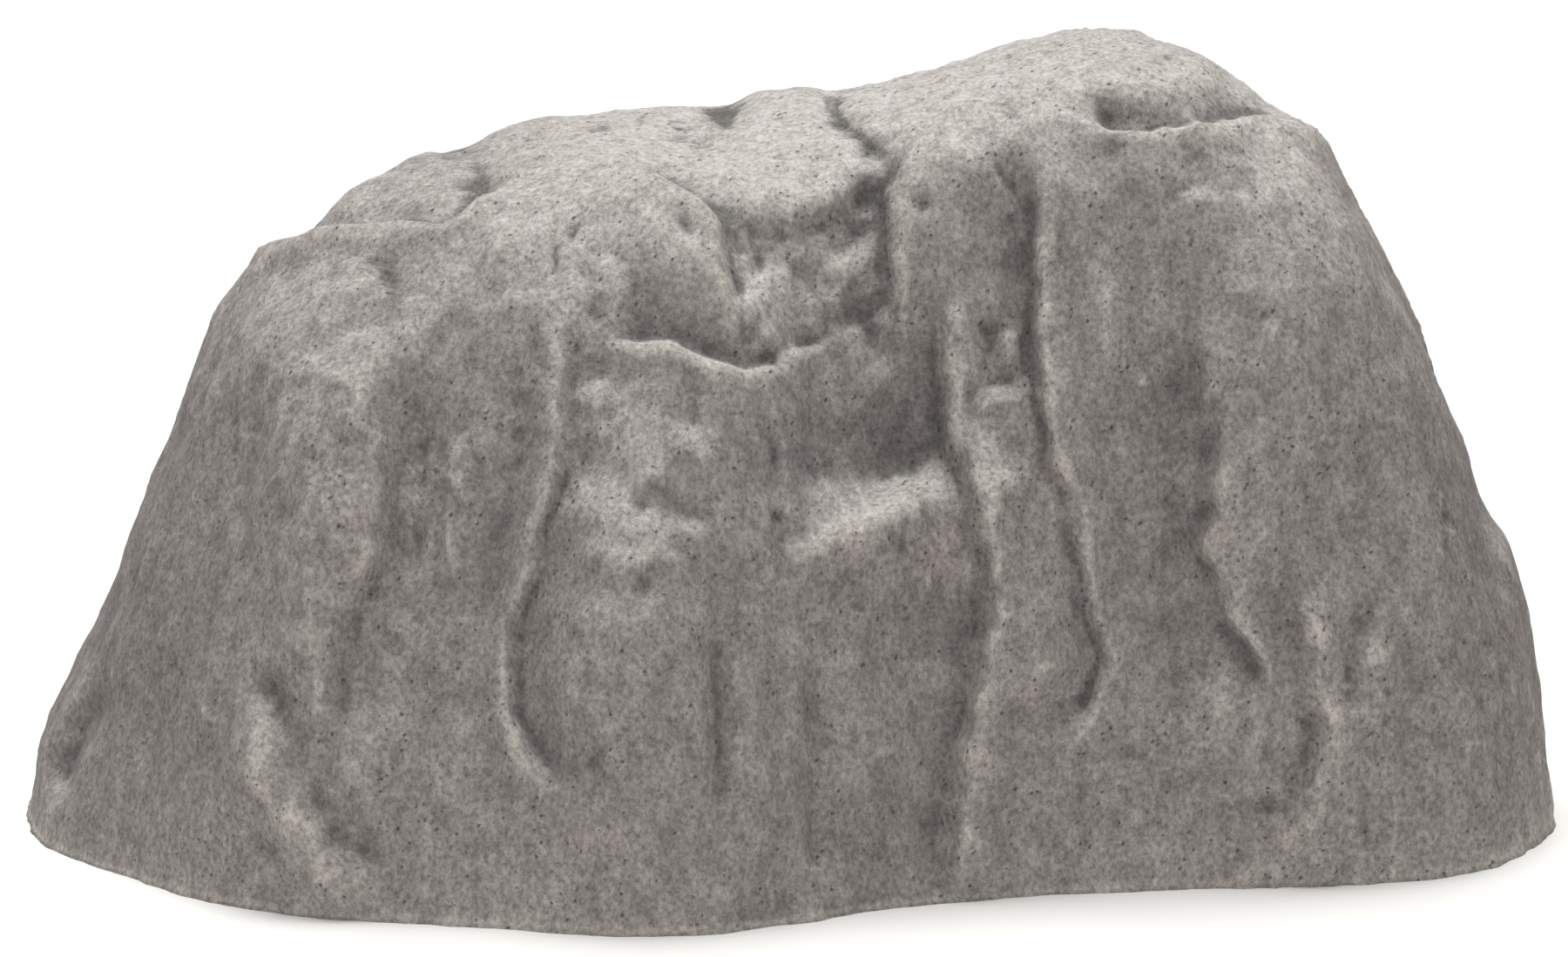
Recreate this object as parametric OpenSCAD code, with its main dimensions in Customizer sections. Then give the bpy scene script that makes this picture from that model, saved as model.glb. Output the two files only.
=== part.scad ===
// Hollow artificial boulder for a pond side: a moulded resin rock shell that stands over a pump or
// filter, with a cave mouth for hoses in its rear wall, two vents and four ground stakes.
// Origin: on the ground, under the middle of the boulder. +X runs along its length to the right of
// its show face, +Y to the rear, +Z up. Millimetres.

/* [Boulder] */
// Length of the boulder, end to end
length = 1000; // [900:10:1100]
// Depth from the show face to the rear, as a share of the natural depth
depth_scale = 1; // [0.9:0.02:1.1]
// Height, as a share of the natural height
height_scale = 1; // [0.9:0.02:1.1]
// Thickness of the resin wall
wall = 6; // [4:0.5:9]

/* [Cave mouth] */
// Height of the arched mouth in the rear wall
mouth_h = 140; // [100:5:170]
// Half of the mouth's spread, in degrees seen from the middle of the boulder
mouth_spread = 26; // [20:1:30]

/* [Base flange] */
// Width of the flange inside the foot
flange_w = 46; // [30:1:60]
// Thickness of the flange
flange_t = 6; // [4:0.5:10]

/* [Stakes] */
// Length of a ground stake from its tip to the top of its head
stake_l = 152; // [130:1:200]
// Radius of the stake's rod
stake_r = 4.5; // [3:0.1:5]
// Height of a lug's collar
lug_h = 34; // [24:1:44]

/* [Vents] */
// Radius of the hole that a vent is pushed into
vent_r = 36; // [28:1:40]
// Number of louvre slats in a vent
slats = 6; // [4:1:8]

/* [Hidden] */
$fn = 64;

stone = "#8f8984";
laminate = "#b9b49a";
black_rubber = "#2a2a2a";
grey_plastic = "#77736e";
galvanised = "#a9adb0";

// Radii of the foot, one every 10 degrees, counterclockwise from the right-hand end
foot_radii = [
    500, 498, 484, 452, 410, 362, 322, 295, 280, 274, 278, 294,
    322, 362, 410, 452, 482, 496, 500, 490, 462, 438, 406, 362,
    336, 322, 306, 284, 260, 250, 256, 270, 308, 372, 462, 494
];
// Heights of the ridge, evenly spaced from the left-hand end to the right-hand one. The last is
// the height that the steep right-hand end would reach if its wall ran on.
ridge_heights = [
    300, 280, 400, 445, 448, 450, 453, 458, 460, 460, 470,
    478, 492, 512, 528, 536, 536, 550, 524, 480, 700
];
// How square the wall turns over into the roof: at the ends and at the front, and its crown
ends_square = 4;
front_square = 3;
crown = 1.3;

// The show face is laid out on a drawing plane that leans back by this angle
lean = 14;
// Broad swells and hollows: [x, height on the plane, half width, half height, how far it stands out]
swells = [
    [-307, 236, 42, 90, 14],   // left pillar
    [-208, 175, 40, 130, -14], // trough right of the left pillar
    [-110, 85, 60, 112, 20],   // large bulb at the foot
    [24, 60, 55, 130, -12],    // channel in the middle
    [47, 250, 60, 70, -20],    // scoop above the slanting shelf
    [62, 196, 60, 26, 12],     // slanting shelf
    [152, 130, 38, 95, 15],    // right bulb
    [232, 165, 34, 120, -12],  // trough left of the right pillar
    [301, 290, 40, 65, 10],    // right pillar
    [-300, 25, 45, 70, 10],    // left foot
    [330, 60, 40, 80, 11],     // right foot
    [-90, 388, 52, 40, 10],    // block at the top, left of the middle
    [15, 345, 48, 45, -18],    // hollow below the roof
    [100, 400, 34, 60, 9]      // block at the top, right of the middle
];
// From here to there in Y the show face's relief fades into the rear wall's
rear_starts = 60;
rear_full = 170;
// The rear wall carries the same relief turned round, drawn narrower and shallower
rear_width = 0.94;
rear_relief = 0.8;

// Columns round the wall, columns across the mouth, and rings from the crown to the foot
wall_columns = 52;
mouth_columns = 12;
rings = 15;

// A slope is measured over this share of the radius, and over this angle
slope_share = 0.02;
slope_angle = 1;

mouth_angle = 90;
mouth_square = 2.6; // 2 is an ellipse; more makes the arch squarer

// Stakes stand beside the mouth and at the rear corners
stake_angles = [57, 123, 27, 153];
stake_out = 19;   // from the foot to the stake's axis
lug_r = 14;
lug_web = 22;
lug_bite = 4;     // how far the web is bonded into the wall at the ground
lug_rake = 5;     // how much further in it goes at its top, as the wall leans
bush_wall = 2.4;
bush_cap = 1.5;
stake_play = 0.5;
head_t = 4;
head_r = 11;
tip_l = 18;
tip_gap = 0.5;

// Vents: direction from the middle of the boulder, and share of the radius
vent_angles = [128, 52];
vent_share = 0.83;
pad_r = vent_r + 14;
pad_t = 9;
vent_flange_r = vent_r + 10;
vent_flange_t = 3;
gasket_t = 2;
spigot_l = 16;
spigot_wall = 2;
slat_t = 1.6;
slat_tilt = 40;
screen_t = 1;

// Ribs: where they stand in X, their reach in Y and their radius
rib_x = [-230, -75, 200];
rib_reach = 130;
rib_r = 17;
rib_steps = 12;
rib_sink = 1.5;

trim_w = 12;   // across the wall
trim_d = 12;   // over the wall's edge
trim_lip = 3;

// A smooth curve through the values of a table, read at position s
function smooth_at(p, t) =
    p[1] + 0.5 * t * (p[2] - p[0] + t * (2 * p[0] - 5 * p[1] + 4 * p[2] - p[3]
    + t * (3 * (p[1] - p[2]) + p[3] - p[0])));
function round_table(table, s) =
    let (n = len(table), i = floor(s))
    smooth_at([for (k = [-1:2]) table[(i + k + n) % n]], s - i);
function open_table(table, s) =
    let (n = len(table), i = floor(s))
    smooth_at([for (k = [-1:2]) table[max(0, min(n - 1, i + k))]], s - i);
function fade(a, b, s) = let (t = max(0, min(1, (s - a) / (b - a)))) t * t * (3 - 2 * t);
function sum(list) = len(list) == 0 ? 0 : list * [for (item = list) 1];
function unit(p) = p / norm(p);
function turn(a) = (a % 360 + 360) % 360;

function foot_radius(a) = round_table(foot_radii, turn(a) / 10);
function ridge(x) =
    open_table(ridge_heights, max(0, min(0.9999, x / 1000 + 0.5)) * (len(ridge_heights) - 1));
function squareness(a) = let (c = cos(a)) front_square + (ends_square - front_square) * c * c;
function profile(share, a) = pow(max(0, 1 - pow(share, squareness(a))), 1 / crown);

// The plain form: a point at a share of the radius from the crown (0) to the foot (1)
function plain(a, share) =
    let (r = share * foot_radius(a), x = r * cos(a))
    [x, r * sin(a), ridge(x) * profile(share, a)];
function outward(a, share) =
    let (near = max(0.005, share - slope_share), far = min(1, share + slope_share),
         down = plain(a, far) - plain(a, near),
         along = plain(a + slope_angle, share) - plain(a - slope_angle, share))
    unit(cross(down, along));
function swell_sum(x, v) =
    sum([for (s = swells) s[4] * exp(-pow((x - s[0]) / s[2], 2) - pow((v - s[1]) / s[3], 2))]);
function relief(p) =
    let (rear = fade(rear_starts, rear_full, p[1]), up = p[2] * cos(lean), back = p[1] * sin(lean))
    (1 - rear) * swell_sum(p[0], up + back)
    + rear * rear_relief * swell_sum(-p[0] / rear_width, up - back);

// How high the mouth's arch stands at an angle, and the share of the radius where the wall ends
function arch(a) =
    let (t = abs(a - mouth_angle) / mouth_spread)
    t >= 1 ? 0 : mouth_h * pow(1 - pow(t, mouth_square), 1 / mouth_square);
function wall_end(a) =
    arch(a) == 0 ? 1
    : let (top = ridge(0.95 * foot_radius(a) * cos(a)))
      pow(1 - pow(arch(a) / top, crown), 1 / squareness(a));

function scaled(p) = [p[0] * length / 1000, p[1] * depth_scale, p[2] * height_scale];
// A point of the finished wall, sunk below its outer face
function wall_point(a, share, sunk = 0) =
    let (p = plain(a, share), n = outward(a, share), q = p + (relief(p) - sunk) * n)
    scaled([q[0], q[1], share == 1 ? 0 : q[2]]);
// The same by its place in plan
function roof_point(x, y, sunk) =
    let (a = atan2(y, x), share = norm([x, y]) / foot_radius(turn(a)))
    wall_point(turn(a), max(0.001, share), sunk);

function column_angle(i) =
    i < mouth_columns
    ? mouth_angle - mouth_spread * cos(180 * i / mouth_columns)
    : mouth_angle + mouth_spread
      + (360 - 2 * mouth_spread) * (i - mouth_columns) / wall_columns;
columns = mouth_columns + wall_columns;
// Rings lie closer together down the wall than over the roof
function ring_share(j) = let (s = 1 - j / rings) 1 - 0.7 * s * s - 0.3 * s;

function skin(sunk) = [
    for (j = [1:rings], i = [0:columns - 1])
        let (a = column_angle(i)) wall_point(a, wall_end(a) * ring_share(j), sunk)
];
function skin_faces(start, crown_index) = [
    for (i = [0:columns - 1])
        let (k = (i + 1) % columns) [crown_index, start + i, start + k],
    for (j = [0:rings - 2], i = [0:columns - 1])
        let (k = (i + 1) % columns, a = start + j * columns, b = a + columns)
        each [[a + i, b + i, b + k], [a + i, b + k, a + k]]
];
function flipped(faces) = [for (f = faces) [for (i = [len(f) - 1:-1:0]) f[i]]];

module hollow_form() {
    outer = skin(0);
    inner = skin(wall);
    n = len(outer);
    foot = (rings - 1) * columns;
    crown_z = scaled([0, 0, plain(0, 0)[2] + relief(plain(0, 0))]);
    points = concat(outer, inner, [crown_z, crown_z - [0, 0, wall]]);
    rim = [
        for (i = [0:columns - 1])
            let (k = (i + 1) % columns, a = foot, b = foot + n)
            each [[a + i, b + i, b + k], [a + i, b + k, a + k]]
    ];
    faces = concat(skin_faces(0, 2 * n), flipped(skin_faces(n, 2 * n + 1)), rim);
    polyhedron(points, flipped(faces), convexity = 6);
}

// Draws its children at a vent, with +Z pointing out of the wall
module at_vent(which) {
    a = vent_angles[which];
    spot = wall_point(a, vent_share);
    n = outward(a, vent_share);
    translate(spot) rotate([0, acos(n[2]), atan2(n[1], n[0])]) children();
}

module rock_shell() {
    color(stone)
    difference() {
        union() {
            hollow_form();
            for (which = [0, 1]) at_vent(which) translate([0, 0, -pad_t]) cylinder(r = pad_r, h = pad_t);
        }
        for (which = [0, 1]) at_vent(which) {
            cylinder(r = pad_r, h = 30);
            translate([0, 0, -60]) cylinder(r = vent_r, h = 61);
        }
    }
}

// A point on the ground, set in from the foot
function foot_point(a, set_in) =
    let (p = wall_point(a, 1), q = wall_point(a + 1, 1) - wall_point(a - 1, 1), t = unit([q[0], q[1]]))
    [p[0] - set_in * t[1], p[1] + set_in * t[0]];

module base_flange() {
    gap = mouth_spread + 4;
    angles = [for (i = [0:wall_columns]) mouth_angle + gap + (360 - 2 * gap) * i / wall_columns];
    outline = concat(
        [for (a = angles) foot_point(a, wall - 1)],
        [for (i = [wall_columns:-1:0]) foot_point(angles[i], wall + flange_w)]
    );
    color(laminate) linear_extrude(flange_t) polygon(outline);
}

module roof_rib(x) {
    sides = 8;
    function section(y) =
        let (q = roof_point(x, y, wall), up = unit(q - roof_point(x, y, wall + 5)),
             side = unit(cross([0, 1, 0], up)))
        [for (k = [0:sides])
            q + rib_r * (cos(180 * k / sides) * side - sin(180 * k / sides) * up) + rib_sink * up];
    n = sides + 1;
    points = [for (i = [0:rib_steps]) each section(-rib_reach + 2 * rib_reach * i / rib_steps)];
    last = rib_steps * n;
    faces = concat(
        [for (i = [0:rib_steps - 1], k = [0:sides])
            let (m = (k + 1) % n, a = i * n, b = a + n)
            each [[a + k, a + m, b + m], [a + k, b + m, b + k]]],
        [[for (k = [sides:-1:0]) k], [for (k = [0:sides]) last + k]]
    );
    color(laminate) polyhedron(points, flipped(faces), convexity = 4);
}

// Rubber edging that grips the wall round the mouth, carried along the arch
module mouth_trim() {
    steps = 28;
    half_gap = wall / 2 + 0.2;
    bead = [
        [-trim_w / 2, -trim_lip], [trim_w / 2, -trim_lip], [trim_w / 2, trim_d - trim_lip],
        [half_gap, trim_d - trim_lip], [half_gap, 0.2], [-half_gap, 0.2],
        [-half_gap, trim_d - trim_lip], [-trim_w / 2, trim_d - trim_lip]
    ];
    function edge(i, sunk) =
        let (a = mouth_angle - mouth_spread * cos(180 * i / steps))
        wall_point(a, wall_end(a), sunk);
    function ring(i) =
        let (mid = edge(i, wall / 2), across = unit(edge(i, 0) - edge(i, wall)),
             along = i == 0 || i == steps ? [0, 0, i == 0 ? 1 : -1]
                     : unit(edge(i + 1, wall / 2) - edge(i - 1, wall / 2)),
             away = unit(cross(across, along)))
        [for (b = bead) let (q = mid + b[0] * across + b[1] * away) [q[0], q[1], max(0, q[2])]];
    n = len(bead);
    points = [for (i = [0:steps]) each ring(i)];
    faces = concat(
        [for (i = [0:steps - 1], k = [0:n - 1])
            let (m = (k + 1) % n, a = i * n, b = a + n)
            each [[a + k, a + m, b + m], [a + k, b + m, b + k]]],
        [[for (k = [n - 1:-1:0]) k], [for (k = [0:n - 1]) steps * n + k]]
    );
    color(black_rubber) polyhedron(points, flipped(faces), convexity = 6);
}

module vent(which) {
    color(grey_plastic) at_vent(which) {
        difference() {
            union() {
                translate([0, 0, gasket_t]) cylinder(r = vent_flange_r, h = vent_flange_t);
                translate([0, 0, gasket_t - spigot_l]) cylinder(r = vent_r - 0.1, h = spigot_l);
            }
            translate([0, 0, -spigot_l]) cylinder(r = vent_r - spigot_wall, h = spigot_l + 20);
        }
        intersection() {
            translate([0, 0, -8]) cylinder(r = vent_r - spigot_wall + 0.5, h = 12);
            for (i = [0:slats - 1])
                translate([-(i - (slats - 1) / 2) * 2 * vent_r / slats, 0, -2])
                rotate([0, slat_tilt, 0])
                cube([slat_t, 2 * vent_r, 13], center = true);
        }
    }
}

module vent_gasket(which) {
    color(black_rubber) at_vent(which) difference() {
        cylinder(r = vent_flange_r - 0.5, h = gasket_t);
        translate([0, 0, -1]) cylinder(r = vent_r, h = gasket_t + 2);
    }
}

module vent_screen(which) {
    color(galvanised) at_vent(which)
    translate([0, 0, gasket_t - spigot_l + 1]) cylinder(r = vent_r - spigot_wall, h = screen_t);
}

// Draws its children at a stake: on the ground under its axis, with +X pointing away from the wall
module at_stake(which) {
    a = stake_angles[which];
    p = foot_point(a, -stake_out);
    out = p - foot_point(a, 0);
    translate([p[0], p[1], 0]) rotate([0, 0, atan2(out[1], out[0])]) children();
}

module stake_lug(which) {
    bore = stake_r + stake_play + bush_wall;
    web = [
        [0, 0], [0, lug_h - 8],
        [-stake_out - lug_bite - lug_rake, lug_h + 10], [-stake_out - lug_bite, 0]
    ];
    color(stone) at_stake(which) difference() {
        union() {
            cylinder(r = lug_r, h = lug_h);
            translate([0, lug_web / 2, 0]) rotate([90, 0, 0]) linear_extrude(lug_web) polygon(web);
        }
        translate([0, 0, -1]) cylinder(r = bore, h = 2 * lug_h);
        translate([0, 0, lug_h]) cylinder(r = lug_r, h = lug_h);
    }
}

module stake_bush(which) {
    color(galvanised) at_stake(which) difference() {
        union() {
            cylinder(r = stake_r + stake_play + bush_wall, h = lug_h);
            translate([0, 0, lug_h]) cylinder(r = lug_r - 4, h = bush_cap);
        }
        translate([0, 0, -1]) cylinder(r = stake_r + stake_play, h = lug_h + 5);
    }
}

module ground_stake(which) {
    color(galvanised) at_stake(which) {
        translate([0, 0, tip_gap]) cylinder(r1 = 0.8, r2 = stake_r, h = tip_l);
        translate([0, 0, tip_gap + tip_l]) cylinder(r = stake_r, h = stake_l - tip_l - head_t);
        translate([0, 0, tip_gap + stake_l - head_t]) cylinder(r = head_r, h = head_t);
    }
}

rock_shell();
base_flange();
roof_rib(rib_x[0]);  // roof_rib_left
roof_rib(rib_x[1]);  // roof_rib_middle
roof_rib(rib_x[2]);  // roof_rib_right
mouth_trim();
vent(0);  // vent_left
vent(1);  // vent_right
vent_gasket(0);  // vent_gasket_left
vent_gasket(1);  // vent_gasket_right
vent_screen(0);  // vent_screen_left
vent_screen(1);  // vent_screen_right
stake_lug(0);  // stake_lug_1
stake_lug(1);  // stake_lug_2
stake_lug(2);  // stake_lug_3
stake_lug(3);  // stake_lug_4
stake_bush(0);  // stake_bush_1
stake_bush(1);  // stake_bush_2
stake_bush(2);  // stake_bush_3
stake_bush(3);  // stake_bush_4
ground_stake(0);  // ground_stake_1
ground_stake(1);  // ground_stake_2
ground_stake(2);  // ground_stake_3
ground_stake(3);  // ground_stake_4
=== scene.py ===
import math

import bpy
import numpy as np
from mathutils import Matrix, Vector


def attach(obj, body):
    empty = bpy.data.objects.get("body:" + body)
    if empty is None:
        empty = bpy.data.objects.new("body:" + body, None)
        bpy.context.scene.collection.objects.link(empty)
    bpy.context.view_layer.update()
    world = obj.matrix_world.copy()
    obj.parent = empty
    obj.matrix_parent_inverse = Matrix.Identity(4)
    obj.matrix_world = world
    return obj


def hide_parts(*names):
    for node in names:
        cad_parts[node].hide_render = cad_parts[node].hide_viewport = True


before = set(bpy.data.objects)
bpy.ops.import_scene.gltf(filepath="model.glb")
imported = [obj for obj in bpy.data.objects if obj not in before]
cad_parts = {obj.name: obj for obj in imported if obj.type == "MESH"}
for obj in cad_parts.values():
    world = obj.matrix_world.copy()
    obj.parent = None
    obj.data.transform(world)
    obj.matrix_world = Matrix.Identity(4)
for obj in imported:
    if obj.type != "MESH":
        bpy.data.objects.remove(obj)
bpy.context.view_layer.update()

# Lengths in this script are millimetres until a mesh is made, and angles are degrees.
MM = 0.001

# ---------------------------------------------------------------- the boulder's dimensions

# Radii of the foot, one every 10 degrees, counterclockwise from the right-hand end
FOOT_RADII = np.array([
    500, 498, 484, 452, 410, 362, 322, 295, 280, 274, 278, 294,
    322, 362, 410, 452, 482, 496, 500, 490, 462, 438, 406, 362,
    336, 322, 306, 284, 260, 250, 256, 270, 308, 372, 462, 494], float)
# Heights of the ridge, evenly spaced from the left-hand end to the right-hand one
RIDGE_HEIGHTS = np.array([
    300, 280, 400, 445, 448, 450, 453, 458, 460, 460, 470,
    478, 492, 512, 528, 536, 536, 550, 524, 480, 700], float)
LENGTH = 1000
ENDS_SQUARE = 4
FRONT_SQUARE = 3
CROWN = 1.3
WALL = 6
LEAN = 14

MOUTH_ANGLE = 90
MOUTH_SPREAD = 26
MOUTH_H = 140
MOUTH_SQUARE = 2.6

VENT_ANGLES = {"left": 128, "right": 52}
VENT_SHARE = 0.83
VENT_R = 36
PAD_R = 50

RIB_X = {"left": -230, "middle": -75, "right": 200}
RIB_REACH = 130
RIB_R = 17

# Broad swells and hollows of the show face, on a drawing plane that leans back by LEAN:
# [x, height on the plane, half width, half height, how far it stands out]
SWELLS = [
    [-307, 236, 42, 90, 14],   # left pillar
    [-208, 175, 40, 130, -14], # trough right of the left pillar
    [-110, 85, 60, 112, 20],   # large bulb at the foot
    [24, 60, 55, 130, -12],    # channel in the middle
    [47, 250, 60, 70, -20],    # scoop above the slanting shelf
    [62, 196, 60, 26, 12],     # slanting shelf
    [152, 130, 38, 95, 15],    # right bulb
    [232, 165, 34, 120, -12],  # trough left of the right pillar
    [301, 290, 40, 65, 10],    # right pillar
    [-300, 25, 45, 70, 10],    # left foot
    [330, 60, 40, 80, 11],     # right foot
    [-90, 388, 52, 40, 10],    # block at the top, left of the middle
    [15, 345, 48, 45, -18],    # hollow below the roof
    [100, 400, 34, 60, 9],     # block at the top, right of the middle
]
# The same for fullness at the two flanks and over the roof
FULLNESS = [
    [-445, 150, 60, 150, 7],
    [-345, 330, 70, 60, 8],
    [430, 150, 60, 130, 3],
    [-290, 402, 48, 26, 8],
    [335, 458, 42, 24, 6],
    [-8, 470, 36, 20, 5],
    [-345, 250, 26, 60, -4],
    [-120, 175, 34, 36, 5],
    [140, 235, 22, 50, 6],
    [30, 30, 120, 50, 4],
    [72, 168, 52, 34, 6],
    [15, 345, 44, 40, 6],
    [-110, 175, 46, 60, 5],
    [300, 200, 34, 110, 4],
    [-300, 200, 34, 110, 4],
    [40, 255, 40, 45, 5],
]
REAR_STARTS = 60
REAR_FULL = 170
REAR_WIDTH = 0.94
REAR_RELIEF = 0.8

# Creases, drawn on the same plane. Folds run from top to bottom, ledges from left to right.
# (points, side of the crest, crest height, crest width, drop, width of the drop, length in which the
# wall comes back). The side is 1 for a crest to the left of the way the line runs, else -1.
CREASES = {
    "left pillar": (
        [(-258, 318), (-262, 283), (-262, 260), (-259, 238), (-261, 215), (-262, 194), (-265, 177),
         (-271, 152), (-282, 130), (-289, 110), (-292, 88), (-296, 66), (-300, 34)], -1, 3.5, 20, 12, 10, 46),
    "large bulb": (
        [(-143, 325), (-145, 238), (-151, 213), (-158, 189), (-164, 165), (-174, 141), (-179, 123),
         (-180, 101), (-178, 70), (-171, 55), (-155, 22), (-141, 2)], -1, 3, 14, 11, 9, 40),
    "middle fold": (
        [(101, 352), (101, 301), (103, 273), (106, 242), (112, 227), (117, 182), (122, 163),
         (125, 139), (123, 107), (118, 76), (110, 42), (108, 21), (101, -27), (95, -66)],
        1, 5, 15, 14, 10, 44),
    "right bulb": (
        [(155, 430), (158, 376), (156, 317), (159, 284), (166, 254), (169, 225), (182, 199),
         (189, 163), (195, 127), (202, 104), (199, 87), (192, 65), (174, 36)], 1, 3, 14, 11, 9, 36),
    "right pillar": (
        [(258, 330), (263, 292), (267, 260), (274, 236), (269, 212), (267, 172), (274, 150),
         (284, 124), (297, 107), (305, 91), (309, 60)], 1, 3.5, 20, 12, 10, 46),
    "left ledge": (
        [(-362, 352), (-342, 363), (-289, 379), (-250, 384), (-223, 387), (-197, 402), (-178, 416)],
        -1, 7, 9, 14, 9, 18),
    "right ledge": (
        [(176, 450), (225, 446), (245, 447), (274, 450), (301, 453), (323, 451), (358, 434)],
        -1, 3, 9, 9, 7, 14),
    "middle ledge": (
        [(-128, 308), (-90, 307), (-74, 303), (-59, 297), (-47, 293), (-31, 289), (-15, 290),
         (12, 296)], -1, 3, 9, 9, 7, 20),
    "middle ledge end": ([(-8, 302), (3, 305), (25, 308), (42, 316)], -1, 1.5, 5, 4, 4, 9),
    "slanting shelf": (
        [(-8, 164), (13, 173), (30, 183), (53, 193), (75, 207), (95, 222), (108, 240)],
        -1, 6, 12, 11, 9, 46),
    "roof dish": ([(-62, 402), (-45, 397), (-5, 386), (30, 396), (72, 422)], 1, 3, 12, 7, 12, 50),
    "left block": (
        [(-114, 425), (-95, 418), (-75, 403), (-53, 387), (-46, 379), (-41, 360), (-38, 341),
         (-28, 318)], -1, 4, 10, 11, 7, 24),
    "right block": ([(76, 428), (63, 402), (62, 378), (64, 345), (58, 322), (60, 300)], 1, 3, 9, 8, 6, 20),
    "left block crack": ([(-153, 405), (-153, 330)], -1, 0.8, 5, 4.5, 3, 8),
    "left block curl": ([(-118, 404), (-131, 385), (-144, 358)], 1, 0.5, 4, 3, 2.5, 6),
    "roof crack": ([(18, 470), (45, 446), (74, 417)], 1, 1, 6, 5, 4, 10),
    "right block crack": ([(118, 432), (133, 414), (146, 390)], -1, 0.8, 4, 3, 2.5, 6),
    "far left lobe": ([(-446, 96), (-455, 77), (-471, 53), (-481, 29), (-486, 0)], -1, 3, 9, 9, 6, 14),
    "left foot band": (
        [(-352, 108), (-336, 70), (-322, 35), (-296, -11), (-252, -52)], -1, 7, 17, 8, 14, 36),
    "right foot band": (
        [(320, 156), (327, 133), (333, 87), (340, 55), (333, 22), (303, -34)], 1, 7, 17, 8, 14, 36),
    "right foot finger": ([(380, 150), (372, 120), (366, 90), (360, 55)], 1, 3.5, 10, 4, 8, 16),
    "right bulb fork": ([(156, 226), (138, 213), (126, 195), (113, 170)], -1, 3, 6, 1, 5, 8),
}
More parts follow.
